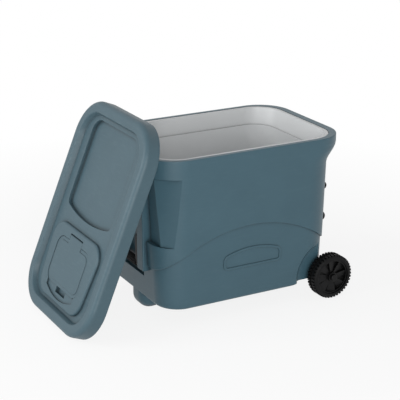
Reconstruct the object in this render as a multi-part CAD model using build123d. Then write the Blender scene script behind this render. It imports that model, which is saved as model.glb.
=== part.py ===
"""A hard plastic cooler on two wheels, open, with its loose lid leaning on the handle end.

Millimetres, +Z up, floor at z = 0. +X points to the wheel end and -Y to the front.
The solids are drawn about the middle of the body and shifted at the end, so that the
origin lies on the floor under the middle of everything, the leaning lid included.
"""
import os
from math import cos, pi, radians, sin

from build123d import *

os.makedirs("parts", exist_ok=True)

# Body, outside
rim_length = 550.0
rim_width = 386.0
rim_corner_radius = 89.0
rim_edge_radius = 2.5
rim_band_height = 20.0
rim_blend_drop = 54.0
rim_blend_steps = 6
body_height = 398.0
ground_clearance = 45.0
base_corner_radius = 69.5
base_edge_radius = 9.0
side_draft = 12.8
handle_end_draft = 21.6
wheel_end_draft = 12.8
wheel_end_overhang = 25.8
shell_wall = 3.0
rim_flange_thickness = 4.0
rim_top_width = 13.0
mouth_setback = 8.0

# The lower body is set back below a low arch
arch_radius = 361.0
arch_peak = 200.0
arch_middle = -8.0
arch_step = 4.5
arch_overlap = 46.0
arch_edge_radius = 2.5

# Liner and insulation
lip_groove = 0.8
lip_width = 9.0
lip_thickness = 4.0
lip_drop = 0.8
liner_wall = 2.5
liner_ledge = 3.0
liner_ledge_depth = 48.0
liner_floor_radius = 18.0
foam_side = 16.0
foam_wheel_end = 8.0
foam_floor = 24.5
foam_clearance = 0.3

# Handle end: two corner recesses, two cheeks, a handle pocket and a foot
corner_recess_depth = 14.0
corner_recess_low = 170.0
corner_recess_low_cut = 4.0
corner_recess_drop = 48.0
corner_recess_high_cut = 15.0
corner_recess_bearing = 50.0
cheek_inner = 57.0
cheek_thickness = 35.0
cheek_setback = 3.0
cheek_low = 90.0
cheek_drop = 46.0
pocket_depth = 14.0
pocket_low = 62.0
pocket_high = 212.0
foot_half_width = 42.0
foot_length = 70.0
foot_radius = 32.0

# Wheels and axle
wheel_diameter = 120.0
wheel_width = 36.0
axle_setback = 3.4
axle_diameter = 10.0
axle_fit = 0.05
axle_boss_radius = 15.0
axle_boss_gap = 40.0
axle_channel_gap = 2.0
well_radius = 94.0
well_flare = 9.0
well_depth = 29.0
bottom_rise = 9.0
bottom_rise_reach = 115.0
bottom_rise_run = 32.0
washer_thickness = 1.5
washer_radius = 11.0
axle_cap_radius = 9.0
axle_cap_length = 7.0
axle_cap_edge_radius = 2.3
tyre_thickness = 13.0
tread_depth = 3.5
tread_lugs = 40
lug_foot_share = 0.72
lug_tip_share = 0.54
tread_centre_band = 8.0
hub_rim_thickness = 4.0
hub_web_thickness = 6.0
hub_boss_radius = 13.0
hub_vanes = 8
vane_inner_width = 8.0
vane_outer_width = 26.0
vane_thickness = 3.0
vane_rise = 6.0
vane_tilt = 16.0
side_play = 0.3

# Tow handle in the handle end's pocket
tow_pivot_setback = 13.0
tow_pivot_height = 170.0
tow_reach = 72.0
tow_arm_thickness = 8.0
tow_arm_radius = 8.0
tow_arm_gap = 4.0
tow_grip_radius = 11.0
tow_grip_ribs = 10
tow_grip_rib_height = 1.6
tow_core_radius = 5.0
pin_radius = 4.0
pin_fit = 0.06
pin_depth = 14.0

# Carry handle on the wheel end
carry_bracket_inner = 76.0
carry_bracket_width = 20.0
carry_bracket_drop = 113.0
carry_bracket_length = 80.0
carry_bracket_proud = 21.0
carry_pivot_drop = 49.0
carry_reach = 88.0
carry_arm_thickness = 9.0
carry_arm_radius = 9.0
carry_arm_gap = 1.0
carry_grip_radius = 13.0
carry_grip_length = 196.0
carry_core_radius = 6.0
carry_wall_gap = 3.0
carry_pin_head_radius = 11.0
carry_pin_head_height = 5.0
carry_pin_head_edge_radius = 3.0
bracket_screw_radius = 2.0
bracket_screw_head_radius = 4.0
bracket_screw_head_height = 1.6
screw_fit = 0.1
carry_screw_offset = 19.0

# Drain in the wheel end
drain_bore_radius = 6.5
drain_tube_radius = 9.0
drain_rise = 0.5
drain_flange_radius = 14.0
drain_flange_thickness = 3.0
drain_pad_radius = 15.0
drain_pad_proud = 1.0
drain_washer_thickness = 1.0
drain_plug_head_radius = 12.0
drain_plug_head_thickness = 6.0
drain_plug_depth = 16.0
drain_fit = 0.08

# Lid
lid_overhang = 6.0
lid_side_overhang = 7.0
lid_corner_growth = 12.0
lid_height = 40.0
lid_edge_radius = 13.0
lid_wall = 3.0
lid_lean = 67.85
lid_rest_gap = 0.3
lid_closed_gap = 0.5
lid_band = 36.0
lid_crest_radius = 4.0
lid_panel_drop = 14.0
lid_panel_slope = 6.0
tray_drop = 10.0
tray_side_margin = 70.0
tray_end_margin = 46.0
tray_platform_gap = 46.0
tray_bulge = 18.0
tray_corner_radius = 38.0
tray_low_corner_radius = 20.0
tray_drain_radius = 3.0
tray_drain_offset = 31.0
tray_drain_inset = 12.0
platform_rise = 9.0
platform_end_margin = 46.0
platform_side_margin = 60.0
platform_taper = 20.0
platform_corner_radius = 46.0
platform_edge_radius = 6.0

# Lid underside
under_panel_wall = 2.5
under_panel_gap = 0.4
under_panel_height = 2.0
plug_depth = 6.0
plug_clearance = 8.0
gasket_width = 8.0
gasket_inset = 5.0
gasket_squeeze_gap = 0.3

# Hatch in the lid
hatch_low_margin = 40.0
hatch_high_margin = 33.0
hatch_length = 120.0
hatch_width = 188.0
hatch_corner_radius = 28.0
hatch_thickness = 6.0
hatch_gap = 1.0
hatch_seat_gap = 0.1
hatch_border = 9.0
hatch_border_drop = 1.0
hatch_ledge = 14.0
hatch_gasket_thickness = 1.2
hatch_gasket_width = 6.0
hatch_pin_radius = 2.0
hatch_pin_length = 92.0
hatch_knuckle_radius = 4.5
hatch_pin_offset = 11.0
hatch_tab_width = 72.0
hatch_tab_back_gap = 7.0
hatch_hinge_boss = 8.0
hinge_fit = 0.05
scoop_depth = 4.0
scoop_half_width = 80.0
scoop_reach = 29.5
scoop_sagitta = 17.0
notch_half_width = 28.0
notch_reach = 17.0
notch_undercut = 6.0
notch_depth = 13.0

# Levels and outlines that several pieces share
base_z = ground_clearance
rim_z = base_z + body_height
blend_z = rim_z - rim_band_height - rim_blend_drop
lip_z = rim_z - lip_drop
ledge_z = rim_z - liner_ledge_depth
floor_z = base_z + shell_wall + foam_floor + liner_wall
reach_out = 200.0
corner_recess_high = body_height - corner_recess_drop
cheek_face = rim_length / 2 - cheek_setback
tow_pivot_x = rim_length / 2 - tow_pivot_setback
axle_x = rim_length / 2 - wheel_end_overhang - wheel_end_draft - axle_setback
well_face = rim_width / 2 - well_depth
bottom_rise_start = axle_x - bottom_rise_reach
carry_bracket_high = body_height - carry_bracket_drop
carry_bracket_low = carry_bracket_high - carry_bracket_length
carry_pivot_height = carry_bracket_high - carry_pivot_drop
lid_length = rim_length + 2 * lid_overhang
lid_width = rim_width + 2 * lid_side_overhang
lid_corner_radius = rim_corner_radius + lid_corner_growth


def along_y(x, z, y=0.0):
    """A place whose local Z runs along +Y."""
    return Pos(x, y, z) * Rot(-90, 0, 0)


def along_x(x, y, z):
    """A place whose local Z runs along +X."""
    return Pos(x, y, z) * Rot(0, 90, 0)


def rod_y(x, z, radius, y0, y1):
    """A round bar along Y between two Y values."""
    return along_y(x, z, (y0 + y1) / 2) * Cylinder(radius, abs(y1 - y0))


def box_between(x0, x1, y0, y1, z0, z1):
    """A block given by its limits."""
    middle = Pos((x0 + x1) / 2, (y0 + y1) / 2, (z0 + z1) / 2)
    return middle * Box(abs(x1 - x0), abs(y1 - y0), abs(z1 - z0))


def both_sides(solid):
    """The solid and its mirror image behind the XZ plane."""
    return [solid, mirror(solid, about=Plane.XZ)]


def body_limits(z):
    """Left end, right end, half width and corner radius of the body at a height."""
    short = 1 - (z - base_z) / body_height
    left = -rim_length / 2 + handle_end_draft * short
    right = rim_length / 2 - wheel_end_overhang - wheel_end_draft * short
    half_width = rim_width / 2 - side_draft * short
    radius = rim_corner_radius + (base_corner_radius - rim_corner_radius) * short
    return left, right, half_width, radius


def rounded_face(left, right, half_width, radius, z):
    """A level rounded rectangle."""
    outline = RectangleRounded(right - left, 2 * half_width, radius)
    return (Pos((left + right) / 2, 0, z) * outline).face()


def body_face(z, inset, overhang=0.0):
    """The body's outline at a height, set in, with a share of the rim's overhang."""
    left, right, half_width, radius = body_limits(z)
    right = right + overhang * (rim_length / 2 - right)
    return rounded_face(left + inset, right - inset, half_width - inset, radius - inset, z)


def rim_outline(inset):
    """The rim's outline drawn in at the wheel end, where its top is wider, and set in all round."""
    length = rim_length - mouth_setback - 2 * inset
    outline = RectangleRounded(length, rim_width - 2 * inset, rim_corner_radius - inset)
    return Pos(-mouth_setback / 2, 0) * outline


def rim_plate(inset, z0, z1):
    """A plate of the rim's outline between two heights."""
    return extrude(Pos(0, 0, z0) * rim_outline(inset), z1 - z0)


def full_form(inset, z0, z1):
    """The body above the arch as a solid, which swells out to the rim at the wheel end."""
    faces = [body_face(z0, inset)]
    for step in range(rim_blend_steps + 1):
        share = step / rim_blend_steps
        swell = (1 - cos(pi * share)) / 2
        faces.append(body_face(blend_z + share * rim_blend_drop, inset, swell))
    faces.append(body_face(z1, inset, 1.0))
    return loft(faces, ruled=True)


def lower_form(inset, z0):
    """The body below the arch as a solid, which runs up inside the upper part."""
    z1 = base_z + arch_peak + arch_overlap
    return loft([body_face(z0, inset + arch_step), body_face(z1, inset + arch_step)], ruled=True)


def arch_rod(grow):
    """The round bar that trims the upper body to the arch."""
    middle_z = base_z + arch_peak - arch_radius
    return rod_y(arch_middle, middle_z, arch_radius + grow, -rim_width, rim_width)


def corner_recess(grow):
    """The recess at the front corner of the handle end, with a slanted face across the corner."""
    faces = []
    across = sin(radians(corner_recess_bearing))
    along = cos(radians(corner_recess_bearing))
    low = (corner_recess_low - grow, corner_recess_low_cut + grow)
    high = (corner_recess_high + grow, corner_recess_high_cut + grow)
    for height, cut in (low, high):
        left, _, half_width, radius = body_limits(base_z + height)
        floor_x = left + corner_recess_depth + grow
        start_y = -(cheek_inner + cheek_thickness - grow)
        corner_x = left + radius
        corner_y = radius - half_width
        floor_y = corner_y - (radius - cut + across * (floor_x - corner_x)) / along
        far_y = -half_width - reach_out
        far_x = corner_x - (radius - cut + along * (far_y - corner_y)) / across
        corners = [
            (left - reach_out, start_y),
            (floor_x, start_y),
            (floor_x, floor_y),
            (far_x, far_y),
            (left - reach_out, far_y),
        ]
        outline = make_face(Polyline(*corners, close=True))
        faces.append((Pos(0, 0, base_z + height) * outline).face())
    return loft(faces, ruled=True)


def handle_pocket(grow):
    """The pocket between the cheeks that the tow handle hangs in."""
    faces = []
    for height in (pocket_low - grow, pocket_high + grow):
        left = body_limits(base_z + height)[0]
        floor_x = left + pocket_depth + grow
        half = cheek_inner + grow
        faces.append(rounded_face(left - reach_out, floor_x, half, foam_clearance, base_z + height))
    return loft(faces, ruled=True)


def cheek():
    """The front one of the two upright cheeks beside the pocket."""
    y0 = -cheek_inner - cheek_thickness
    x1 = -cheek_face + 2 * pocket_depth
    block = box_between(-cheek_face, x1, y0, -cheek_inner, base_z + cheek_low, rim_z - cheek_drop)
    return fillet(block.edges().filter_by(Axis.Z).group_by(Axis.X)[0], arch_edge_radius)


def foot_form(inset):
    """The rounded foot under the handle end."""
    left = body_limits(base_z)[0] + arch_step
    top = base_z + shell_wall + base_edge_radius
    half = foot_half_width - inset
    block = box_between(left + inset, left + foot_length - inset, -half, half, inset, top)
    radius = foot_radius - inset
    block = fillet(block.edges().filter_by(Axis.Z), radius)
    return fillet(block.edges().group_by(Axis.Z)[0], radius - arch_edge_radius)


def wheel_well(grow):
    """The round cut for the front wheel, flared where it meets the face."""
    axle_z = wheel_diameter / 2
    y0 = -well_face + grow
    mouth = -body_limits(base_z)[2]
    straight = rod_y(axle_x, axle_z, well_radius + grow, y0, y0 - reach_out)
    flare = Cone(well_radius + grow, well_radius + grow + 2 * well_flare, 2 * well_flare)
    return straight + Pos(axle_x, mouth, axle_z) * Rot(90, 0, 0) * flare


def bottom_cut(grow):
    """The raised stretch of the underside near the wheels."""
    x0 = bottom_rise_start - grow
    x1 = x0 + bottom_rise_run
    top = base_z + bottom_rise + grow
    far = rim_length
    corners = [(x0, base_z + grow), (x1, top), (far, top), (far, -far), (x0, -far)]
    face = make_face(Plane.XZ * Polyline(*corners, close=True))
    return extrude(face, rim_width, both=True)


def axle_bosses(grow):
    """The two solid bosses that carry the axle, clear of the drain between them."""
    axle_z = wheel_diameter / 2
    boss = rod_y(axle_x, axle_z, axle_boss_radius + grow, -well_face - grow, -axle_boss_gap + grow)
    return both_sides(boss)


def tow_pin_bosses(grow):
    """The solid stretch of wall round the blind holes of the tow handle's pins."""
    z = base_z + tow_pivot_height
    far = cheek_inner + pin_depth + shell_wall + grow
    return both_sides(rod_y(-tow_pivot_x, z, pin_radius + shell_wall + grow, -far, -cheek_inner))


def axle_channel(grow):
    """The groove across the wheel end in which the axle lies between its bosses."""
    radius = axle_diameter / 2 + axle_channel_gap + grow
    half = axle_boss_gap + grow
    return rod_y(axle_x, wheel_diameter / 2, radius, -half, half)


def drain_rod(x0, x1, radius):
    """A round bar on the drain's axis, just above the liner's floor."""
    middle = along_x((x0 + x1) / 2, 0, floor_z + drain_rise + drain_bore_radius)
    return middle * Cylinder(radius, abs(x1 - x0))


def drain_inner_x():
    """X of the liner's wheel end wall, where the drain spout begins."""
    return body_limits(floor_z)[1] - arch_step - shell_wall - foam_wheel_end - liner_wall


def drain_pad_x():
    """X of the flat pad on the shell that the drain's washer lies on."""
    return wheel_end_wall(floor_z + drain_rise + drain_bore_radius) + drain_pad_proud


def wheel_end_wall(z):
    """X of the set-back wheel end wall at a height."""
    return body_limits(z)[1] - arch_step


def cavity(clear):
    """The space inside the outer shell, set in by a clearance."""
    inset = shell_wall + clear
    top = rim_z - rim_flange_thickness - clear
    low = base_z + inset
    space = full_form(inset, low, top) - arch_rod(inset)
    space = space + lower_form(inset, low)
    space = space + foot_form(inset)
    space = space - bottom_cut(inset)
    space = space - both_sides(corner_recess(inset)) - handle_pocket(inset)
    space = space - both_sides(wheel_well(inset))
    return space - axle_bosses(clear) - axle_channel(inset) - tow_pin_bosses(clear)


def make_outer_shell():
    """The moulded outer shell with its rim, recesses, cheeks, foot, wells and axle bosses."""
    upper = full_form(0, base_z, rim_z)
    upper = fillet(upper.edges().group_by(Axis.Z)[-1], rim_edge_radius) - arch_rod(0)
    arch = upper.faces().filter_by(GeomType.CYLINDER).sort_by(SortBy.AREA)[-1]
    upper = fillet(arch.edges(), arch_edge_radius)
    lower = lower_form(0, base_z)
    lower = fillet(lower.edges().group_by(Axis.Z)[0], base_edge_radius)
    body = upper + lower
    body = body + foot_form(0)
    body = body - bottom_cut(0)
    body = body - both_sides(corner_recess(0))
    body = body + both_sides(cheek())
    body = body - handle_pocket(0)
    body = body - both_sides(wheel_well(0))
    body = body - axle_channel(0) + axle_bosses(0)
    body = body + drain_rod(drain_inner_x(), drain_pad_x(), drain_pad_radius)
    body = body - cavity(0)
    body = body - rim_plate(rim_top_width, rim_z - 2 * rim_flange_thickness, rim_z + rim_flange_thickness)
    axle_z = wheel_diameter / 2
    body = body - rod_y(axle_x, axle_z, axle_diameter / 2 + axle_fit, -rim_width, rim_width)
    pivot_z = base_z + tow_pivot_height
    pin_end = cheek_inner + pin_depth
    body = body - rod_y(-tow_pivot_x, pivot_z, pin_radius + pin_fit, -pin_end, pin_end)
    for hole in bracket_screw_holes():
        body = body - both_sides(hole)
    return body - drain_rod(drain_inner_x(), rim_length, drain_tube_radius + drain_fit)


def liner_face(z, grow):
    """The liner's inside outline below its ledge, grown by a wall."""
    left, right, half_width, radius = body_limits(z)
    side = arch_step + shell_wall + foam_side + liner_wall - grow
    end = arch_step + shell_wall + foam_wheel_end + liner_wall - grow
    return rounded_face(left + side, right - end, half_width - side, radius - side, z)


def liner_form(grow, top):
    """The liner's inside as a solid, grown by a wall."""
    mouth_inset = rim_top_width + lip_groove + lip_width - grow
    step_z = ledge_z - grow
    mouth = (Pos(0, 0, top) * rim_outline(mouth_inset)).face()
    upper = loft([liner_face(step_z, grow + liner_ledge), mouth], ruled=True)
    lower = loft([liner_face(floor_z - grow, grow), liner_face(step_z, grow)], ruled=True)
    lower = fillet(lower.edges().group_by(Axis.Z)[0], liner_floor_radius + grow)
    return upper + lower


def make_inner_liner():
    """The pale one-piece liner with its lip."""
    liner = liner_form(liner_wall, lip_z - lip_thickness)
    liner = liner + rim_plate(rim_top_width + lip_groove, lip_z - lip_thickness, lip_z)
    liner = liner - liner_form(0, lip_z)
    liner = liner - drain_rod(drain_inner_x(), rim_length, drain_tube_radius + drain_fit)
    return liner - drain_rod(drain_inner_x() - liner_floor_radius, rim_length, drain_bore_radius)


def make_foam_core():
    """The foam that fills the space between shell and liner."""
    top = lip_z - lip_thickness - foam_clearance
    foam = cavity(foam_clearance)
    foam = foam - box_between(-rim_length, rim_length, -rim_width, rim_width, top, rim_z + top)
    foam = foam - liner_form(liner_wall + foam_clearance, lip_z - lip_thickness)
    return foam - drain_rod(drain_inner_x(), rim_length, drain_pad_radius + foam_clearance)


def make_drain():
    """The drain spout through both walls, its sealing washer and its pull-out plug."""
    inside_x = drain_inner_x()
    pad_x = drain_pad_x()
    flange_x = pad_x + drain_washer_thickness
    face_x = flange_x + drain_flange_thickness
    washer = drain_rod(pad_x, flange_x, drain_flange_radius)
    washer = washer - drain_rod(0, rim_length, drain_tube_radius + drain_fit)
    spout = drain_rod(inside_x, face_x, drain_tube_radius)
    spout = spout + drain_rod(flange_x, face_x, drain_flange_radius)
    spout = spout - drain_rod(0, rim_length, drain_bore_radius)
    plug = drain_rod(face_x, face_x + drain_plug_head_thickness, drain_plug_head_radius)
    plug = plug + drain_rod(face_x - drain_plug_depth, face_x, drain_bore_radius - drain_fit)
    return spout, washer, plug


def lug_ring(y0, y1, turn):
    """One row of tread lugs as a ring."""
    outer = wheel_diameter / 2
    root = outer - tread_depth
    inner = outer - tyre_thickness
    pitch = 360.0 / tread_lugs
    points = []
    foot = lug_foot_share / 2
    tip = lug_tip_share / 2
    for lug in range(tread_lugs):
        for share, radius in ((-foot, root), (-tip, outer), (tip, outer), (foot, root)):
            angle = radians(-90 + turn + (lug + share) * pitch)
            points.append((radius * cos(angle), radius * sin(angle)))
    outline = make_face(Polyline(*points, close=True)) - Circle(inner)
    return Pos(0, 0, y0) * extrude(outline, y1 - y0)


def make_wheel():
    """A tyre and a hub about the local Z axis, the outer face at the top."""
    outer = wheel_diameter / 2
    root = outer - tread_depth
    seat = outer - tyre_thickness
    half = wheel_width / 2
    pitch = 360.0 / tread_lugs
    tyre = Cylinder(root, wheel_width) - Cylinder(seat, 2 * wheel_width)
    tyre = chamfer(tyre.edges().filter_by(GeomType.CIRCLE).group_by(SortBy.RADIUS)[-1], tread_depth)
    band = tread_centre_band / 2
    tyre = tyre + lug_ring(band, half - tread_depth, 0)
    tyre = tyre + lug_ring(-half + tread_depth, -band, pitch / 2)
    hub = Cylinder(seat, wheel_width - 2 * tread_depth)
    hub = hub - Cylinder(seat - hub_rim_thickness, 2 * wheel_width)
    web_z = half - 2 * tread_depth - vane_rise - hub_web_thickness
    web = Cylinder(seat - hub_rim_thickness / 2, hub_web_thickness)
    hub = hub + Pos(0, 0, web_z + hub_web_thickness / 2) * web
    vane_end = seat - hub_rim_thickness / 2
    corners = [
        (hub_boss_radius / 2, -vane_inner_width / 2),
        (vane_end, -vane_outer_width / 2),
        (vane_end, vane_outer_width / 2),
        (hub_boss_radius / 2, vane_inner_width / 2),
    ]
    vane = extrude(make_face(Polyline(*corners, close=True)), vane_thickness / 2, both=True)
    vane = Pos(0, 0, web_z + hub_web_thickness + vane_rise / 2) * Rot(vane_tilt, 0, 0) * vane
    vane = vane & Cylinder(vane_end, wheel_width)
    for place in range(hub_vanes):
        hub = hub + Rot(0, 0, place * 360.0 / hub_vanes) * vane
    hub = hub + Cylinder(hub_boss_radius, wheel_width)
    hub = hub - Cylinder(axle_diameter / 2 + axle_fit, 2 * wheel_width)
    return tyre, hub


def make_running_gear():
    """Both wheels, the axle, its washers and its push-on caps."""
    axle_z = wheel_diameter / 2
    hub_face = well_face + washer_thickness + 2 * side_play
    middle = hub_face + wheel_width / 2
    tyre, hub = make_wheel()
    front = Pos(axle_x, -middle, axle_z) * Rot(90, 0, 0)
    tyres = both_sides(front * tyre)
    hubs = both_sides(front * hub)
    cap_y = hub_face + wheel_width + side_play
    axle_end = cap_y + axle_cap_length - shell_wall
    axle = rod_y(axle_x, axle_z, axle_diameter / 2, -axle_end, axle_end)
    washer = rod_y(axle_x, axle_z, washer_radius, -hub_face + side_play, -well_face - side_play)
    washer = washer - rod_y(axle_x, axle_z, axle_diameter / 2 + axle_fit, -rim_width, rim_width)
    cap = rod_y(axle_x, axle_z, axle_cap_radius, -cap_y - axle_cap_length, -cap_y)
    cap = fillet(cap.edges().group_by(Axis.Y)[0], axle_cap_edge_radius)
    cap = cap - rod_y(axle_x, axle_z, axle_diameter / 2 + axle_fit, -axle_end, axle_end)
    return tyres, hubs, axle, both_sides(washer), both_sides(cap)


def bail_arm(x, z, reach, radius, y0, y1):
    """One flat arm from a pivot down to the grip's core."""
    arm = rod_y(x, z, radius, y0, y1) + rod_y(x, z - reach, radius, y0, y1)
    return arm + box_between(x - radius, x + radius, y0, y1, z - reach, z)


def make_tow_handle():
    """The tow handle's bail, its ribbed grip and its two pivot pins."""
    x = -tow_pivot_x
    z = base_z + tow_pivot_height
    arm_outer = cheek_inner - tow_arm_gap
    arm_inner = arm_outer - tow_arm_thickness
    arm = bail_arm(x, z, tow_reach, tow_arm_radius, -arm_outer, -arm_inner)
    core = rod_y(x, z - tow_reach, tow_core_radius, -arm_outer, arm_outer)
    bail = core + both_sides(arm)
    bail = bail - rod_y(x, z, pin_radius + pin_fit, -rim_width, rim_width)
    grip = rod_y(x, z - tow_reach, tow_grip_radius - tow_grip_rib_height, -arm_inner, arm_inner)
    for rib in range(tow_grip_ribs):
        angle = radians(rib * 360.0 / tow_grip_ribs)
        across = tow_grip_radius - tow_grip_rib_height
        bar = rod_y(x + across * cos(angle), z - tow_reach + across * sin(angle),
                    tow_grip_rib_height, -arm_inner, arm_inner)
        grip = grip + bar
    grip = grip - rod_y(x, z - tow_reach, tow_core_radius + pin_fit, -rim_width, rim_width)
    pin = rod_y(x, z, pin_radius, -cheek_inner - pin_depth + pin_fit, -arm_inner)
    return bail, grip, both_sides(pin)


def carry_pivot_x():
    """X of the carry handle's pivot, which keeps the hanging grip off the wall."""
    return body_limits(base_z + carry_bracket_high)[1] + carry_wall_gap + carry_grip_radius


def bracket_face_x():
    """X of the carry brackets' outer face."""
    return body_limits(base_z + carry_bracket_high)[1] + carry_bracket_proud


def bracket_screw_places():
    """Y and Z of the front bracket's two screws."""
    y = -carry_bracket_inner - carry_bracket_width / 2
    pivot_z = base_z + carry_pivot_height
    return [(y, pivot_z + carry_screw_offset), (y, pivot_z - carry_screw_offset)]


def bracket_screw_holes():
    """The front bracket's screw holes, which run on into the shell."""
    holes = []
    for y, z in bracket_screw_places():
        inside_x = body_limits(z)[1] - 2 * shell_wall
        outside_x = bracket_face_x() + bracket_screw_head_height
        hole = Cylinder(bracket_screw_radius + screw_fit, outside_x - inside_x)
        holes.append(along_x((inside_x + outside_x) / 2, y, z) * hole)
    return holes


def make_bracket_screws():
    """The four pan-head screws that hold the carry brackets to the shell."""
    screws = []
    face_x = bracket_face_x()
    for y, z in bracket_screw_places():
        end_x = body_limits(z)[1] - shell_wall
        shank = Cylinder(bracket_screw_radius, face_x - end_x)
        head = Cylinder(bracket_screw_head_radius, bracket_screw_head_height)
        head_x = face_x + bracket_screw_head_height / 2
        screw = along_x((face_x + end_x) / 2, y, z) * shank + along_x(head_x, y, z) * head
        screws += both_sides(screw)
    return screws


def make_carry_handle():
    """The wheel end's carry handle: its bail, grip, pins and brackets."""
    low_z = base_z + carry_bracket_low
    high_z = base_z + carry_bracket_high
    pivot_z = base_z + carry_pivot_height
    grip_z = pivot_z - carry_reach
    x = carry_pivot_x()
    face_x = bracket_face_x()
    corners = [
        (body_limits(low_z)[1], low_z),
        (body_limits(high_z)[1], high_z),
        (face_x, high_z),
        (face_x, low_z),
    ]
    side = make_face(Plane.XZ.offset(carry_bracket_inner) * Polyline(*corners, close=True))
    bracket = extrude(side, carry_bracket_width, dir=(0, -1, 0))
    outer_edges = bracket.edges().filter_by(Axis.Y).group_by(Axis.X)[-1]
    bracket = fillet(outer_edges, carry_bracket_proud / 2)
    bracket_outer = carry_bracket_inner + carry_bracket_width
    hole = rod_y(x, pivot_z, pin_radius + pin_fit, -rim_width, rim_width)
    bracket = bracket - hole - bracket_screw_holes()
    arm_outer = carry_bracket_inner - carry_arm_gap
    arm_inner = arm_outer - carry_arm_thickness
    arm = bail_arm(x, pivot_z, carry_reach, carry_arm_radius, -arm_outer, -arm_inner)
    end = rod_y(x, grip_z, carry_grip_radius, -carry_grip_length / 2, -arm_inner)
    end = fillet(end.edges().group_by(Axis.Y)[0], carry_grip_radius / 2)
    core = rod_y(x, grip_z, carry_core_radius, -arm_outer, arm_outer)
    bail = core + both_sides(arm) + both_sides(end) - hole
    grip = rod_y(x, grip_z, carry_grip_radius, -arm_inner + side_play, arm_inner - side_play)
    grip = grip - rod_y(x, grip_z, carry_core_radius + pin_fit, -rim_width, rim_width)
    pin = rod_y(x, pivot_z, pin_radius, -bracket_outer, -arm_inner)
    head_end = bracket_outer + carry_pin_head_height
    head = rod_y(x, pivot_z, carry_pin_head_radius, -head_end, -bracket_outer)
    head = fillet(head.edges().group_by(Axis.Y)[0], carry_pin_head_edge_radius)
    return bail, grip, both_sides(pin + head), both_sides(bracket)


# Lid levels, above the lid's own bottom plane
panel_h = lid_height - lid_panel_drop
tray_h = panel_h - tray_drop
platform_h = panel_h + platform_rise
door_low_h = platform_h - hatch_thickness
seat_h = door_low_h - hatch_seat_gap - hatch_gasket_thickness
pin_h = platform_h - hatch_knuckle_radius

# Places along and across the lid, from its middle
platform_bottom = platform_end_margin - lid_length / 2
platform_top_half = lid_width / 2 - platform_side_margin
platform_bottom_half = platform_top_half - platform_taper
hatch_bottom = platform_bottom + hatch_low_margin
hatch_top = hatch_bottom + hatch_length
platform_top = hatch_top + hatch_high_margin
pin_u = hatch_top + hatch_pin_offset
tray_side_end = platform_top + tray_platform_gap
tray_top = lid_length / 2 - tray_end_margin
tray_half_width = lid_width / 2 - tray_side_margin
tray_drain_u = tray_top - tray_drain_offset
plug_inset = rim_top_width + lip_groove + lip_width + plug_clearance


def lid_outline(inset):
    """The lid's outline, set in."""
    return RectangleRounded(lid_length - 2 * inset, lid_width - 2 * inset, lid_corner_radius - inset)


def raised(outline, h0, h1):
    """A flat outline made solid between two heights of the lid."""
    return extrude(Pos(0, 0, h0) * outline, h1 - h0)


def tray_outline(grow):
    """The tray in the lid's top, with a bulging edge towards the hatch."""
    top = tray_top + grow
    side = tray_half_width + grow
    low = tray_side_end - grow
    lines = Polyline((low, -side), (top, -side), (top, side), (low, side))
    bulge = ThreePointArc((low, side), (low - tray_bulge, 0), (low, -side))
    face = make_face(lines + bulge)
    face = fillet(face.vertices().group_by(Axis.X)[-1], tray_corner_radius + grow)
    return fillet(face.vertices().group_by(Axis.X)[0], tray_low_corner_radius + grow)


def platform_outline(inset):
    """The raised platform that holds the hatch."""
    top = platform_top - inset
    low = platform_bottom + inset
    wide = platform_top_half - inset
    narrow = platform_bottom_half - inset
    corners = [(top, -wide), (top, wide), (low, narrow), (low, -narrow)]
    face = make_face(Polyline(*corners, close=True))
    return fillet(face.vertices(), platform_corner_radius - inset)


def hatch_outline(inset):
    """The hatch door's outline, set in."""
    outline = RectangleRounded(
        hatch_length - 2 * inset, hatch_width - 2 * inset, hatch_corner_radius - inset
    )
    return Pos(hatch_top - hatch_length / 2, 0) * outline


def tab_pocket(grow):
    """The pocket in which the hatch's hinge knuckle turns."""
    half = hatch_tab_width / 2 + hatch_gap + grow
    low = pin_h - hatch_knuckle_radius - hatch_gap - grow
    far = pin_u + hatch_tab_back_gap + grow
    return box_between(hatch_top - hatch_gap, far, -half, half, low, 2 * lid_height)


def hinge_boss():
    """The front one of the two bosses that hold the hatch's pin."""
    near = hatch_tab_width / 2 + hatch_gap
    low = pin_h - hatch_knuckle_radius - hatch_gap - lid_wall
    far = hatch_pin_length / 2 + lid_wall
    return box_between(pin_u - hatch_hinge_boss, pin_u + hatch_hinge_boss, -far, -near, low, platform_h)


def scoop(grow):
    """The shallow finger scoop below the hatch, with a deeper notch under its edge."""
    side = scoop_half_width + grow
    near = hatch_bottom + hatch_corner_radius + grow
    bend = hatch_bottom - scoop_reach + scoop_sagitta - grow
    low = hatch_bottom - scoop_reach - grow
    lines = Polyline((bend, side), (near, side), (near, -side), (bend, -side))
    face = make_face(lines + ThreePointArc((bend, -side), (low, 0), (bend, side)))
    dish = raised(face, platform_h - scoop_depth - grow, 2 * lid_height)
    half = notch_half_width + grow
    notch_low = platform_h - notch_depth - grow
    u0 = hatch_bottom - notch_reach - grow
    u1 = hatch_bottom + notch_undercut + grow
    return dish + box_between(u0, u1, -half, half, notch_low, 2 * lid_height)


def panel_recess(grow):
    """The sunk panel of the lid's top with its sloping edge, grown by a wall."""
    low = (Pos(0, 0, panel_h - grow) * lid_outline(lid_band - grow)).face()
    high = (Pos(0, 0, lid_height) * lid_outline(lid_band - lid_panel_slope - 2 * grow)).face()
    return loft([low, high], ruled=True)


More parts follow.
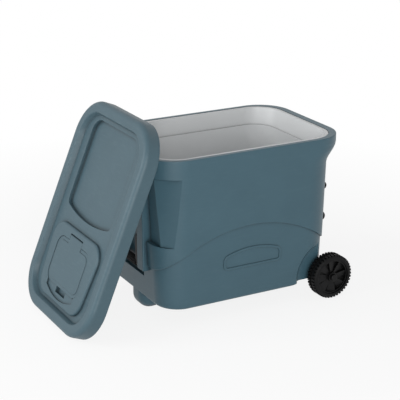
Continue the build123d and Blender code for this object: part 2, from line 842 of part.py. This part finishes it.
def lid_space(clear):
    """The room inside the lid's top moulding, set in by a clearance."""
    wall = lid_wall + clear
    block = raised(lid_outline(wall), 0, lid_height - wall)
    block = fillet(block.edges().group_by(Axis.Z)[-1], lid_edge_radius - wall)
    block = block - panel_recess(wall)
    block = block + raised(platform_outline(wall), panel_h - 2 * wall, platform_h - wall)
    block = block - raised(tray_outline(wall), tray_h - wall, lid_height)
    block = block - raised(hatch_outline(-hatch_gap - wall), seat_h - wall, lid_height)
    block = block - raised(hatch_outline(hatch_ledge - wall), -lid_height, lid_height)
    block = block - tab_pocket(wall) - scoop(wall)
    bosses = both_sides(hinge_boss())
    return block - bosses


def make_lid_top():
    """The lid's top moulding: rim band, panel, tray, platform, hatch seat and hinge bosses."""
    block = raised(lid_outline(0), 0, lid_height)
    block = fillet(block.edges().group_by(Axis.Z)[-1], lid_edge_radius)
    block = block - panel_recess(0)
    crest = block.faces().sort_by(Axis.Z)[-1]
    block = fillet(crest.inner_wires()[0].edges(), lid_crest_radius)
    platform = raised(platform_outline(0), panel_h, platform_h)
    platform = fillet(platform.edges().group_by(Axis.Z)[-1], platform_edge_radius)
    block = block + platform
    block = block - raised(tray_outline(0), tray_h, 2 * lid_height)
    block = block - lid_space(0)
    neck_low = under_panel_wall - plug_depth
    block = block + raised(hatch_outline(hatch_ledge - lid_wall), neck_low, seat_h - lid_wall)
    block = block - raised(hatch_outline(-hatch_gap), seat_h, 2 * lid_height)
    block = block - raised(hatch_outline(hatch_ledge), -lid_height, 2 * lid_height)
    block = block - tab_pocket(0) - scoop(0)
    half = hatch_pin_length / 2 + hatch_gap
    block = block - rod_y(pin_u, pin_h, hatch_pin_radius + hinge_fit, -half, half)
    hole_v = tray_drain_inset - tray_half_width
    hole = Pos(tray_drain_u, hole_v, tray_h) * Cylinder(tray_drain_radius, lid_wall)
    return block - hole


def make_lid_under_panel():
    """The pale pan that closes the lid from below and plugs the mouth."""
    low = -plug_depth
    flange_top = under_panel_height + under_panel_wall
    pan = raised(lid_outline(lid_wall + under_panel_gap), under_panel_height, flange_top)
    pan = pan + raised(rim_outline(plug_inset), low, flange_top)
    pan = pan - raised(rim_outline(plug_inset + under_panel_wall), low + under_panel_wall, 2 * lid_height)
    return pan - raised(hatch_outline(hatch_ledge), -lid_height, lid_height)


def make_lid_foam():
    """The foam inside the lid."""
    flange_top = under_panel_height + under_panel_wall + foam_clearance
    foam = lid_space(foam_clearance)
    foam = foam - box_between(-lid_length, lid_length, -lid_width, lid_width, -lid_height, flange_top)
    low = under_panel_wall - plug_depth + foam_clearance
    core = raised(rim_outline(plug_inset + under_panel_wall + foam_clearance), low, flange_top)
    core = core - raised(hatch_outline(hatch_ledge - lid_wall - foam_clearance), -lid_height, lid_height)
    return foam + core


def make_lid_gasket():
    """The seal that the lid rests on when it is closed."""
    low = gasket_squeeze_gap - lid_closed_gap
    ring = raised(rim_outline(gasket_inset), low, under_panel_height)
    return ring - raised(rim_outline(gasket_inset + gasket_width), -lid_height, lid_height)


def make_hatch():
    """The hatch door with its hinge knuckle, its seal and its hinge pin."""
    border_h = platform_h - hatch_border_drop
    door = raised(hatch_outline(0), door_low_h, border_h)
    door = door + raised(hatch_outline(hatch_border), border_h, platform_h)
    half = hatch_tab_width / 2
    door = door + box_between(hatch_top - hatch_border, pin_u, -half, half, door_low_h, platform_h)
    door = door + rod_y(pin_u, pin_h, hatch_knuckle_radius, -half, half)
    door = door - rod_y(pin_u, pin_h, hatch_pin_radius + hinge_fit, -lid_width, lid_width)
    outer = hatch_ledge - hatch_gasket_width - hatch_gap
    seal = raised(hatch_outline(outer), seat_h, seat_h + hatch_gasket_thickness)
    seal = seal - raised(hatch_outline(outer + hatch_gasket_width), -lid_height, lid_height)
    pin = rod_y(pin_u, pin_h, hatch_pin_radius, -hatch_pin_length / 2, hatch_pin_length / 2)
    return door, seal, pin


def lid_lean_place():
    """The lid's place: lower edge on the floor, plug against the rim's left edge."""
    angle = radians(lid_lean)
    middle_z = lid_length / 2 * sin(angle)
    edge_x = -rim_length / 2 + rim_edge_radius
    edge_z = rim_z - rim_edge_radius
    off = plug_depth + rim_edge_radius + lid_rest_gap
    middle_x = edge_x - (off + (edge_z - middle_z) * cos(angle)) / sin(angle)
    return Pos(middle_x, 0, middle_z) * Rot(0, -lid_lean, 0)


def build():
    """Every node of the cooler, by name, about the middle of the body."""
    spout, drain_washer, drain_plug = make_drain()
    tyres, hubs, axle, washers, caps = make_running_gear()
    tow_bail, tow_grip, tow_pins = make_tow_handle()
    carry_bail, carry_grip, carry_pins, brackets = make_carry_handle()
    door, door_seal, hatch_pin = make_hatch()
    nodes = {
        "outer_shell": [make_outer_shell()],
        "inner_liner": [make_inner_liner()],
        "foam_core": [make_foam_core()],
        "drain_spout": [spout],
        "drain_washer": [drain_washer],
        "drain_plug": [drain_plug],
        "axle": [axle],
        "wheel_washers": washers,
        "axle_caps": caps,
        "front_tyre": tyres[:1],
        "back_tyre": tyres[1:],
        "front_hub": hubs[:1],
        "back_hub": hubs[1:],
        "tow_handle_bail": [tow_bail],
        "tow_handle_grip": [tow_grip],
        "tow_handle_pins": tow_pins,
        "carry_handle_bail": [carry_bail],
        "carry_handle_grip": [carry_grip],
        "carry_handle_pins": carry_pins,
        "carry_handle_brackets": brackets,
        "bracket_screws": make_bracket_screws(),
    }
    lid_nodes = {
        "lid_top": make_lid_top(),
        "lid_under_panel": make_lid_under_panel(),
        "lid_foam": make_lid_foam(),
        "lid_gasket": make_lid_gasket(),
        "hatch_door": door,
        "hatch_gasket": door_seal,
        "hatch_hinge_pin": hatch_pin,
    }
    place = lid_lean_place()
    for name, solid in lid_nodes.items():
        nodes[name] = [place * solid]
    return nodes


def main():
    """Shift the model over its own middle, write each node and print the joints' places."""
    nodes = build()
    boxes = [solid.bounding_box() for solids in nodes.values() for solid in solids]
    middle_x = (min(box.min.X for box in boxes) + max(box.max.X for box in boxes)) / 2
    shift = Pos(-middle_x, 0, 0)
    for name, solids in nodes.items():
        moved = [shift * solid for solid in solids]
        node = moved[0] if len(moved) == 1 else Compound(moved)
        export_step(node, f"parts/{name}.step")
    hatch_axis = shift * lid_lean_place() * Pos(pin_u, 0, pin_h)
    closed = Pos(-middle_x, 0, rim_z + lid_closed_gap) * Pos(pin_u, 0, pin_h)
    print("middle of the body at x", -middle_x)
    print("axle", axle_x - middle_x, wheel_diameter / 2)
    print("tow pivot", -tow_pivot_x - middle_x, base_z + tow_pivot_height)
    print("carry pivot", carry_pivot_x() - middle_x, base_z + carry_pivot_height)
    print("hatch pin leaning", hatch_axis.position, "closed", closed.position)


if __name__ == "__main__":
    main()
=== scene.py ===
# %% [markdown]
# A wheeled cooler with its lid off
#
# The engineering model of the cooler is loaded first and stays where it is. Everything that follows
# gives it a camera, light, finishes and one low moulded detail that the solid model leaves out.

from math import cos, radians, sin

import bmesh
import bpy
from mathutils import Matrix, Vector


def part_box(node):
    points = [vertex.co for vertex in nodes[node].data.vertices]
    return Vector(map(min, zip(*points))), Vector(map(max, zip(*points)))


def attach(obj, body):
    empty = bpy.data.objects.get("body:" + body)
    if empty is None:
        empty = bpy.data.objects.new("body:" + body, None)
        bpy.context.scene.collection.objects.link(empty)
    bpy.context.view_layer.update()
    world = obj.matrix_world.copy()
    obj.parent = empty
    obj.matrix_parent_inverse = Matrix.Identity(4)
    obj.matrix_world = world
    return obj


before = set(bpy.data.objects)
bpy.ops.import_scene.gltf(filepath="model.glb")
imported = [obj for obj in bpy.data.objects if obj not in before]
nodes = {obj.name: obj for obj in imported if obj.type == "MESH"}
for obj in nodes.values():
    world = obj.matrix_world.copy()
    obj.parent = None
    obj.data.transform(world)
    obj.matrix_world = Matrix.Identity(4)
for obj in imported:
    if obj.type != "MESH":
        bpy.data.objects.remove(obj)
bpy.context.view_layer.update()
scene = bpy.context.scene

# %% [markdown]
# The camera
#
# The view is through a long lens from the front left, a little above the rim. A tracking constraint
# could aim the camera. Here it is placed by its bearing, its height angle and its distance from a point
# inside the body, and a matrix whose columns are right, up and back turns it, so nothing stays live.

# %% Place the camera
aim_left = 0.05868
aim_height = 0.26294
bearing = radians(28.53)
height_angle = radians(19.09)
distance = 3.3555
shell_low, shell_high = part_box("outer_shell")
body_middle_x = (shell_low.x + shell_high.x) / 2
aim = Vector((body_middle_x - aim_left, 0.0, aim_height))
back = Vector((-sin(bearing) * cos(height_angle), -cos(bearing) * cos(height_angle), sin(height_angle)))
right = Vector((cos(bearing), -sin(bearing), 0.0))
up = back.cross(right)
turn = Matrix((right, up, back)).transposed()
camera_data = bpy.data.cameras.new("camera")
camera_data.lens = 115.05
camera_data.sensor_width = 36.0
camera = bpy.data.objects.new("camera", camera_data)
scene.collection.objects.link(camera)
camera.matrix_world = Matrix.Translation(aim + back * distance) @ turn.to_4x4()
scene.camera = camera
print("camera at", tuple(round(place, 3) for place in camera.matrix_world.translation))

# %% [markdown]
# Helpers for nodes
#
# The world, the floor and the finishes are all trees of nodes, so one helper adds a node and sets its
# options and sockets. Another tells apart the rays that look, which come from the camera, from a
# mirror or through glass, and the rays that only carry light. Light Path gives each kind on a socket.

# %% Define the node helpers


def add_node(tree, kind, sockets=None, **options):
    """Add a node of a kind to a tree, with values for some of its options and sockets."""
    node = tree.nodes.new(kind)
    for option, value in options.items():
        setattr(node, option, value)
    for socket, value in (sockets or {}).items():
        node.inputs[socket].default_value = value
    return node


def rays_that_look(tree):
    """A socket that is 1 for rays from the camera, in a reflection or through glass."""
    path = add_node(tree, "ShaderNodeLightPath")
    direct = add_node(tree, "ShaderNodeMath", operation="MAXIMUM")
    looking = add_node(tree, "ShaderNodeMath", operation="MAXIMUM")
    tree.links.new(path.outputs["Is Camera Ray"], direct.inputs[0])
    tree.links.new(path.outputs["Is Glossy Ray"], direct.inputs[1])
    tree.links.new(direct.outputs[0], looking.inputs[0])
    tree.links.new(path.outputs["Is Transmission Ray"], looking.inputs[1])
    return looking.outputs[0]


print("helpers", add_node.__name__, rays_that_look.__name__)

# %% [markdown]
# A white studio
#
# A studio picture of plastic has a white surround. One that is simply bright would flood the cooler
# with light. Here the rays that look see full white, and the light that falls on the cooler is weaker,
# so that the lamps can model its forms.

# %% Make the world
white = (1.0, 1.0, 1.0, 1.0)
surround_light = 0.42
surround_seen = 1.0
scene.view_settings.view_transform = "Standard"
world = bpy.data.worlds.new("studio")
scene.world = world
world.use_nodes = True
sky = world.node_tree
sky.nodes.clear()
sky_light = add_node(sky, "ShaderNodeBackground", {"Color": white, "Strength": surround_light})
sky_seen = add_node(sky, "ShaderNodeBackground", {"Color": white, "Strength": surround_seen})
sky_mix = add_node(sky, "ShaderNodeMixShader")
sky_out = add_node(sky, "ShaderNodeOutputWorld")
sky.links.new(rays_that_look(sky), sky_mix.inputs[0])
sky.links.new(sky_light.outputs[0], sky_mix.inputs[1])
sky.links.new(sky_seen.outputs[0], sky_mix.inputs[2])
sky.links.new(sky_mix.outputs[0], sky_out.inputs["Surface"])
print("world", world.name, "light", surround_light)

# %% [markdown]
# Two lamps
#
# The large lamp on the left lights the leaning lid from the side and leaves the corner behind the lid in
# its shadow. A tall lamp near the camera keeps the long front even, and makes the rounded corner that
# faces it the brightest part of the body. Both are area lamps, because a point lamp has hard shadows.

# %% Hang the lamps
lamp_aim = Vector((body_middle_x, 0.0, 0.25))


def hang_lamp(name, place, width, height, power):
    """A rectangular lamp at a place, turned to the cooler."""
    data = bpy.data.lights.new(name, "AREA")
    data.shape = "RECTANGLE"
    data.size = width
    data.size_y = height
    data.energy = power
    lamp = bpy.data.objects.new(name, data)
    scene.collection.objects.link(lamp)
    lamp.location = place
    lamp.rotation_euler = (lamp_aim - Vector(place)).to_track_quat("-Z", "Y").to_euler()
    return lamp


left_lamp = hang_lamp("left_lamp", (-3.0, 0.3, 1.5), width=1.6, height=1.6, power=50.0)
front_lamp = hang_lamp("front_lamp", (-1.45, -3.05, 1.0), width=0.7, height=1.8, power=62.0)
print("lamps", left_lamp.name, front_lamp.name)

# %% [markdown]
# The floor
#
# The cooler stands on one wide flat face. A curved backdrop would do as well, but the floor alone can
# run into the white surround, and it catches the shadow from every side.

# %% Lay the floor
floor_reach = 30.0
floor_mesh = bpy.data.meshes.new("floor")
floor_bm = bmesh.new()
bmesh.ops.create_grid(floor_bm, x_segments=1, y_segments=1, size=floor_reach)
floor_bm.to_mesh(floor_mesh)
floor_bm.free()
floor = bpy.data.objects.new("floor", floor_mesh)
scene.collection.objects.link(floor)
print("floor", floor.name, "reach", floor_reach)

# %% [markdown]
# White paper
#
# Most of what the camera sees of the floor is plain white, so that the background stays white, and the
# rest is a matt surface that still takes the shadow under the cooler. The plain share grows with the
# distance from the cooler, because a sudden change would show as a line.

# %% Make the paper
paper_tone = (0.9, 0.9, 0.9, 1.0)
white_near = 0.85
fade_start = 0.7
fade_end = 1.6
fade_values = {"From Min": fade_start, "From Max": fade_end, "To Min": white_near}
paper = bpy.data.materials.new("white_paper")
paper.use_nodes = True
sheet = paper.node_tree
sheet.nodes.clear()
paper_matt = add_node(sheet, "ShaderNodeBsdfDiffuse", {"Color": paper_tone})
paper_plain = add_node(sheet, "ShaderNodeEmission", {"Color": white})
paper_place = add_node(sheet, "ShaderNodeTexCoord")
paper_far = add_node(sheet, "ShaderNodeVectorMath", operation="LENGTH")
paper_fade = add_node(sheet, "ShaderNodeMapRange", fade_values)
paper_share = add_node(sheet, "ShaderNodeMath", operation="MULTIPLY")
paper_mix = add_node(sheet, "ShaderNodeMixShader")
paper_out = add_node(sheet, "ShaderNodeOutputMaterial")
sheet.links.new(paper_place.outputs["Object"], paper_far.inputs[0])
sheet.links.new(paper_far.outputs["Value"], paper_fade.inputs["Value"])
sheet.links.new(rays_that_look(sheet), paper_share.inputs[0])
sheet.links.new(paper_fade.outputs[0], paper_share.inputs[1])
sheet.links.new(paper_share.outputs[0], paper_mix.inputs[0])
sheet.links.new(paper_matt.outputs[0], paper_mix.inputs[1])
sheet.links.new(paper_plain.outputs[0], paper_mix.inputs[2])
sheet.links.new(paper_mix.outputs[0], paper_out.inputs["Surface"])
floor_mesh.materials.append(paper)
print("paper", paper.name, "white share", white_near, "to 1")

# %% [markdown]
# Shared surface effects
#
# Every moulded piece has the same three things on it: the grain of its mould, marks from handling and
# painted shade in its creases. They could be drawn again in each material. As node groups with sockets
# of their own they are built once, and each material sets its own values. This helper makes an empty
# group.

# %% Define the group helper


def new_group(name, values, results, has_place=True):
    """An empty shader node group with float sockets, and a vector socket if its effect has a place."""
    group = bpy.data.node_groups.new(name, "ShaderNodeTree")
    if has_place:
        group.interface.new_socket("Vector", in_out="INPUT", socket_type="NodeSocketVector")
    for socket_name, value in values.items():
        socket = group.interface.new_socket(socket_name, in_out="INPUT", socket_type="NodeSocketFloat")
        socket.default_value = value
    for socket_name in results:
        group.interface.new_socket(socket_name, in_out="OUTPUT", socket_type="NodeSocketFloat")
    entry = group.nodes.new("NodeGroupInput")
    leave = group.nodes.new("NodeGroupOutput")
    return group, entry, leave


print("helper", new_group.__name__)

# %% [markdown]
# The grain of the mould
#
# A mould is blasted or etched, and the plastic copies it. Fine noise is the blasted part, and a smooth
# Voronoi pattern is the pebbled part. A broad noise is a slow drift of tone over the piece. The Mix node
# has a set of sockets for each type of data, all under the same names, so they are taken by number.

# %% Build the grain group
mix_share = 0
mix_value_a = 2
mix_value_b = 3
mix_value_result = 0
grain_values = {"Fine Scale": 900.0, "Pebble Scale": 420.0, "Pebble Share": 0.5}
grain, grain_in, grain_out = new_group("moulded_grain", grain_values, ["Height", "Tone"])
fine = add_node(grain, "ShaderNodeTexNoise", {"Detail": 3.0})
pebble = add_node(grain, "ShaderNodeTexVoronoi", feature="SMOOTH_F1")
broad = add_node(grain, "ShaderNodeTexNoise", {"Scale": 14.0, "Detail": 4.0})
blend = add_node(grain, "ShaderNodeMix", data_type="FLOAT")
for pattern in (fine, pebble, broad):
    grain.links.new(grain_in.outputs["Vector"], pattern.inputs["Vector"])
grain.links.new(grain_in.outputs["Fine Scale"], fine.inputs["Scale"])
grain.links.new(grain_in.outputs["Pebble Scale"], pebble.inputs["Scale"])
grain.links.new(grain_in.outputs["Pebble Share"], blend.inputs[mix_share])
grain.links.new(fine.outputs[0], blend.inputs[mix_value_a])
grain.links.new(pebble.outputs["Distance"], blend.inputs[mix_value_b])
grain.links.new(blend.outputs[mix_value_result], grain_out.inputs["Height"])
grain.links.new(broad.outputs[0], grain_out.inputs["Tone"])
print("group", grain.name)

# %% [markdown]
# Marks from handling
#
# Feet, car boots and hands leave faint pale rubs. Plain noise would be an even haze. Noise that is
# stretched, and cut off below a level, gives separate patches.

# %% Build the handling marks group
rub_stretch = (1.0, 1.0, 6.0)
rub_start = 0.52
rub_full = 0.78
marks_values = {"Scale": 30.0, "Amount": 0.5}
marks, marks_in, marks_out = new_group("handling_marks", marks_values, ["Mask"])
stretch = add_node(marks, "ShaderNodeMapping", {"Scale": rub_stretch})
rub = add_node(marks, "ShaderNodeTexNoise", {"Detail": 6.0, "Roughness": 0.7})
band = add_node(marks, "ShaderNodeMapRange", {"From Min": rub_start, "From Max": rub_full})
scaled = add_node(marks, "ShaderNodeMath", operation="MULTIPLY")
marks.links.new(marks_in.outputs["Vector"], stretch.inputs["Vector"])
marks.links.new(stretch.outputs[0], rub.inputs["Vector"])
marks.links.new(marks_in.outputs["Scale"], rub.inputs["Scale"])
marks.links.new(rub.outputs[0], band.inputs["Value"])
marks.links.new(band.outputs[0], scaled.inputs[0])
marks.links.new(marks_in.outputs["Amount"], scaled.inputs[1])
marks.links.new(scaled.outputs[0], marks_out.inputs["Mask"])
print("group", marks.name)

# %% [markdown]
# Painted shade in the creases
#
# Shade falls where two faces meet, and here it is painted into the colour. A pattern can't find such
# places, so an Ambient Occlusion node with a short reach finds them. Its value is spread to a shade that
# is 1 in the open and darker in a crease.

# %% Build the painted crease shade group
crease_deep = 0.45
crease_open = 0.95
painted_shade_values = {"Reach": 0.012, "Dark": 0.35}
# This group paints shade: Ambient Occlusion darkens the colour where two faces meet.
painted_shade, painted_shade_in, painted_shade_out = new_group("crease_painted_shade", painted_shade_values, ["Shade"], has_place=False)
crease = add_node(painted_shade, "ShaderNodeAmbientOcclusion", samples=8)
spread = add_node(painted_shade, "ShaderNodeMapRange", {"From Min": crease_deep, "From Max": crease_open})
painted_shade.links.new(painted_shade_in.outputs["Reach"], crease.inputs["Distance"])
painted_shade.links.new(crease.outputs["AO"], spread.inputs["Value"])
painted_shade.links.new(painted_shade_in.outputs["Dark"], spread.inputs["To Min"])
painted_shade.links.new(spread.outputs[0], painted_shade_out.inputs["Shade"])
print("group", painted_shade.name)

# %% [markdown]
# Colour and relief of a moulded piece
#
# The colour drifts a little between two near tones, is paler where it is rubbed, and is darkened by the
# painted crease shade. The normal comes from the grain, as a bump, because real pebbles of that size
# would need millions of faces. A Bevel node in front of it softens the edges that the solid model
# leaves sharp.

# %% Define the colour and the relief
mix_colour_a = 6
mix_colour_b = 7
mix_colour_result = 2
grain_depth = 0.0004


def moulded_colour(tree, tone, rubs, dark, light, rubbed):
    """A colour socket: it drifts between two tones, pales where it is rubbed and takes painted shade in
    creases.
    """
    drift = add_node(tree, "ShaderNodeMix", {mix_colour_a: dark, mix_colour_b: light}, data_type="RGBA")
    worn = add_node(tree, "ShaderNodeMix", {mix_colour_b: rubbed}, data_type="RGBA")
    # The crease group's painted shade is multiplied into the colour here.
    painted_shade_mix = add_node(tree, "ShaderNodeMix", {mix_share: 1.0}, data_type="RGBA", blend_type="MULTIPLY")
    crease_shade_node = add_node(tree, "ShaderNodeGroup", node_tree=painted_shade)
    tree.links.new(tone, drift.inputs[mix_share])
    tree.links.new(rubs, worn.inputs[mix_share])
    tree.links.new(drift.outputs[mix_colour_result], worn.inputs[mix_colour_a])
    tree.links.new(worn.outputs[mix_colour_result], painted_shade_mix.inputs[mix_colour_a])
    tree.links.new(crease_shade_node.outputs["Shade"], painted_shade_mix.inputs[mix_colour_b])
    return painted_shade_mix.outputs[mix_colour_result]


def moulded_relief(tree, height, bump, soften):
    """A normal socket: the grain over edges that are rounded off."""
    soft_edge = add_node(tree, "ShaderNodeBevel", {"Radius": soften}, samples=4)
    relief = add_node(tree, "ShaderNodeBump", {"Strength": bump, "Distance": grain_depth})
    tree.links.new(height, relief.inputs["Height"])
    tree.links.new(soft_edge.outputs[0], relief.inputs["Normal"])
    return relief.outputs[0]


print("helpers", moulded_colour.__name__, moulded_relief.__name__)

# %% [markdown]
# The moulded finish
#
# All the finishes are one Principled shader with three inputs that vary over the surface: colour,
# roughness and normal. Rubbing polishes, so the roughness falls under the marks. Colours are written
# as a screen shows them, and a helper turns them into the linear colours that a shader wants.

# %% Define the moulded finish
rub_polish = 0.15


def paint(red, green, blue):
    """A colour as a screen shows it, 0 to 255, made linear by the sRGB formula."""
    linear = []
    for value in (red, green, blue):
        share = value / 255.0
        linear.append(share / 12.92 if share <= 0.04045 else ((share + 0.055) / 1.055) ** 2.4)
    return (*linear, 1.0)


def moulded(
    name, dark, light, rubbed, rough, shine, bump, fine_scale, pebble_scale, pebble_share, wear, soften,
    metal=0.0,
):
    """A finish with grain, colour drift, rubbed marks, painted shade in the creases and softened edges.
    """
    material = bpy.data.materials.new(name)
    material.use_nodes = True
    tree = material.node_tree
    shader = tree.nodes["Principled BSDF"]
    shader.inputs["Specular IOR Level"].default_value = shine
    shader.inputs["Metallic"].default_value = metal
    scales = {"Fine Scale": fine_scale, "Pebble Scale": pebble_scale, "Pebble Share": pebble_share}
    place = add_node(tree, "ShaderNodeTexCoord")
    grain_node = add_node(tree, "ShaderNodeGroup", scales, node_tree=grain)
    marks_node = add_node(tree, "ShaderNodeGroup", {"Amount": wear}, node_tree=marks)
    polish = add_node(tree, "ShaderNodeMapRange", {"To Min": rough, "To Max": rough - rub_polish})
    for effect in (grain_node, marks_node):
        tree.links.new(place.outputs["Object"], effect.inputs["Vector"])
    rubs = marks_node.outputs["Mask"]
    colour = moulded_colour(tree, grain_node.outputs["Tone"], rubs, dark, light, rubbed)
    relief = moulded_relief(tree, grain_node.outputs["Height"], bump, soften)
    tree.links.new(rubs, polish.inputs["Value"])
    tree.links.new(colour, shader.inputs["Base Color"])
    tree.links.new(polish.outputs[0], shader.inputs["Roughness"])
    tree.links.new(relief, shader.inputs["Normal"])
    return material


print("helpers", paint.__name__, moulded.__name__)

# %% [markdown]
# The body's plastics
#
# The shell is blue-grey polyethylene with a fine grain and a soft gloss. The lid is the same plastic
# with coarser pebbles and a slightly greyer tone. The liner is smooth and nearly white. One finish with
# three tints would be shorter, but their grain differs as much as their colour.

# %% Mix the body's plastics
shell_plastic = moulded(
    "shell_plastic", paint(54, 83, 95), paint(60, 90, 102), paint(76, 104, 115),
    rough=0.42, shine=0.42, bump=0.2, fine_scale=1400.0, pebble_scale=700.0, pebble_share=0.3,
    wear=0.25, soften=0.0008,
)
lid_plastic = moulded(
    "lid_plastic", paint(55, 79, 89), paint(62, 87, 97), paint(78, 102, 111),
    rough=0.5, shine=0.5, bump=0.6, fine_scale=1100.0, pebble_scale=520.0, pebble_share=0.7,
    wear=0.3, soften=0.0018,
)
liner_plastic = moulded(
    "liner_plastic", paint(208, 210, 211), paint(216, 218, 219), paint(224, 226, 227),
    rough=0.45, shine=0.4, bump=0.1, fine_scale=1600.0, pebble_scale=800.0, pebble_share=0.2,
    wear=0.15, soften=0.002,
)
print("finishes", shell_plastic.name, lid_plastic.name, liner_plastic.name)

# %% [markdown]
# The blacks
#
# Hubs, caps and bails are satin black plastic, the treads are harder and more matt, and the grips are
# soft and dull. Black hides its colour, so the shine and the roughness tell the three apart.

# %% Mix the blacks
black_plastic = moulded(
    "black_plastic", paint(12, 12, 13), paint(17, 17, 18), paint(38, 38, 40),
    rough=0.42, shine=0.17, bump=0.2, fine_scale=1500.0, pebble_scale=700.0, pebble_share=0.3,
    wear=0.2, soften=0.0008,
)
tread_plastic = moulded(
    "tread_plastic", paint(9, 9, 10), paint(14, 14, 15), paint(36, 36, 37),
    rough=0.6, shine=0.15, bump=0.4, fine_scale=900.0, pebble_scale=500.0, pebble_share=0.5,
    wear=0.3, soften=0.0006,
)
grip_rubber = moulded(
    "grip_rubber", paint(9, 9, 10), paint(14, 14, 15), paint(32, 32, 33),
    rough=0.7, shine=0.2, bump=0.5, fine_scale=1200.0, pebble_scale=600.0, pebble_share=0.6,
    wear=0.3, soften=0.0006,
)
print("finishes", black_plastic.name, tread_plastic.name, grip_rubber.name)

# %% [markdown]
# Seals, foam and steel
#
# Most of these are out of sight. The lid's seal shows on its underside, and the steel at the axle and
# the screws, while the foam stays inside the walls. The seals are grey rubber, the foam is pale and
# coarse, and the steel is the same finish with its Metallic value at 1.

# %% Mix the seals, the foam and the steel
seal_rubber = moulded(
    "seal_rubber", paint(52, 55, 57), paint(60, 63, 65), paint(80, 83, 85),
    rough=0.75, shine=0.3, bump=0.3, fine_scale=1500.0, pebble_scale=800.0, pebble_share=0.3,
    wear=0.2, soften=0.0004,
)
foam_block = moulded(
    "foam_block", paint(226, 214, 172), paint(238, 228, 190), paint(244, 238, 210),
    rough=0.9, shine=0.2, bump=0.8, fine_scale=700.0, pebble_scale=300.0, pebble_share=0.8,
    wear=0.2, soften=0.0005,
)
plain_steel = moulded(
    "plain_steel", paint(150, 153, 156), paint(172, 175, 178), paint(200, 202, 204),
    rough=0.4, shine=0.5, bump=0.1, fine_scale=2400.0, pebble_scale=900.0, pebble_share=0.1,
    wear=0.4, soften=0.0003, metal=1.0,
)
print("finishes", seal_rubber.name, foam_block.name, plain_steel.name)

# %% [markdown]
# Dress the solid pieces
#
# Each solid of the engineering model takes the finish of what it is made of. The shapes are right as
# they are, so only the material slots change and no mesh is touched.

# %% Assign the finishes
finish_of = {
    shell_plastic: ["outer_shell", "carry_handle_brackets"],
    lid_plastic: ["lid_top", "hatch_door"],
    liner_plastic: ["inner_liner", "lid_under_panel", "drain_spout"],
    black_plastic: [
        "front_hub", "back_hub", "axle_caps", "tow_handle_bail", "carry_handle_bail",
        "carry_handle_pins", "drain_plug",
    ],
    tread_plastic: ["front_tyre", "back_tyre"],
    grip_rubber: ["tow_handle_grip", "carry_handle_grip"],
    seal_rubber: ["lid_gasket", "hatch_gasket", "drain_washer"],
    foam_block: ["foam_core", "lid_foam"],
    plain_steel: ["axle", "wheel_washers", "tow_handle_pins", "bracket_screws", "hatch_hinge_pin"],
}
for finish, names in finish_of.items():
    for name in names:
        nodes[name].data.materials.clear()
        nodes[name].data.materials.append(finish)
print("dressed", sum(len(names) for names in finish_of.values()))

# %% [markdown]
# A bare frame on the front
#
# The front wall carries a low raised frame with an arched top and a bare field. A bump would vanish from
# the side, so it is real geometry. It starts as one flat face whose points are seated on the wall by
# casting rays at the shell. A bevel of its corner points rounds it, an inset gives it a border, and the
# field inside the border is taken out.

# %% Draw the frame's outline
plate_left = body_middle_x - 0.088
plate_right = body_middle_x + 0.082
plate_low = 0.131
plate_shoulder = 0.168
plate_crown = 0.185
plate_border = 0.006
plate_corner = 0.012
plate_root = 0.001
arc_steps = 12
corner_steps = 6
ray_start_y = -1.0
towards_wall = Vector((0.0, 1.0, 0.0))
shell = nodes["outer_shell"]
into_shell = shell.matrix_world.inverted()


def seat(x, z):
    """The point of the front wall at a place, a little below its surface."""
    start = into_shell @ Vector((x, ray_start_y, z))
    hit = shell.ray_cast(start, into_shell.to_3x3() @ towards_wall)
    return shell.matrix_world @ hit[1] + plate_root * towards_wall


outline = [(plate_left, plate_low), (plate_right, plate_low)]
for step in range(arc_steps + 1):
    share = step / arc_steps
    arch = 1.0 - (2.0 * share - 1.0) ** 2
    x = plate_right + share * (plate_left - plate_right)
    outline.append((x, plate_shoulder + arch * (plate_crown - plate_shoulder)))
plate_bm = bmesh.new()
ring = [plate_bm.verts.new(seat(x, z)) for x, z in outline]
plate_bm.faces.new(ring)
corners = [ring[0], ring[1], ring[2], ring[-1]]
bmesh.ops.bevel(
    plate_bm, geom=corners, offset=plate_corner, offset_type="OFFSET", affect="VERTICES",
    segments=corner_steps, profile=0.5, material=-1,
)
border = bmesh.ops.inset_region(
    plate_bm, faces=plate_bm.faces[:], thickness=plate_border, use_boundary=True, use_even_offset=True
)
field = [face for face in plate_bm.faces if face not in border["faces"]]
bmesh.ops.delete(plate_bm, geom=field, context="FACES")
print("border faces", len(plate_bm.faces))

# %% [markdown]
# Raise the frame
#
# The flat border is drawn out of the wall by a couple of millimetres, and a small bevel rounds the
# edges that face outward, so that they catch the light. The frame rides on the body and has the shell's
# finish, because both come out of one mould.

# %% Raise the frame and dress it
plate_proud = 0.0022
plate_rounding = 0.6 * plate_proud
rounding_steps = 3
sharp_turn = 1.0
grown = bmesh.ops.extrude_face_region(plate_bm, geom=plate_bm.faces[:])["geom"]
front_points = [item for item in grown if isinstance(item, bmesh.types.BMVert)]
bmesh.ops.translate(plate_bm, verts=front_points, vec=(0.0, -plate_root - plate_proud, 0.0))
bmesh.ops.recalc_face_normals(plate_bm, faces=plate_bm.faces[:])
front_edges = [
    edge for edge in plate_bm.edges
    if all(point in front_points for point in edge.verts) and edge.calc_face_angle(0.0) > sharp_turn
]
bmesh.ops.bevel(
    plate_bm, geom=front_edges, offset=plate_rounding, offset_type="OFFSET", affect="EDGES",
    segments=rounding_steps, profile=0.5, material=-1,
)
for face in plate_bm.faces:
    face.smooth = True
plate_mesh = bpy.data.meshes.new("front_frame")
plate_bm.to_mesh(plate_mesh)
plate_bm.free()
plate = bpy.data.objects.new("front_frame", plate_mesh)
scene.collection.objects.link(plate)
plate_mesh.materials.append(shell_plastic)
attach(plate, "body")
print("frame faces", len(plate_mesh.polygons))
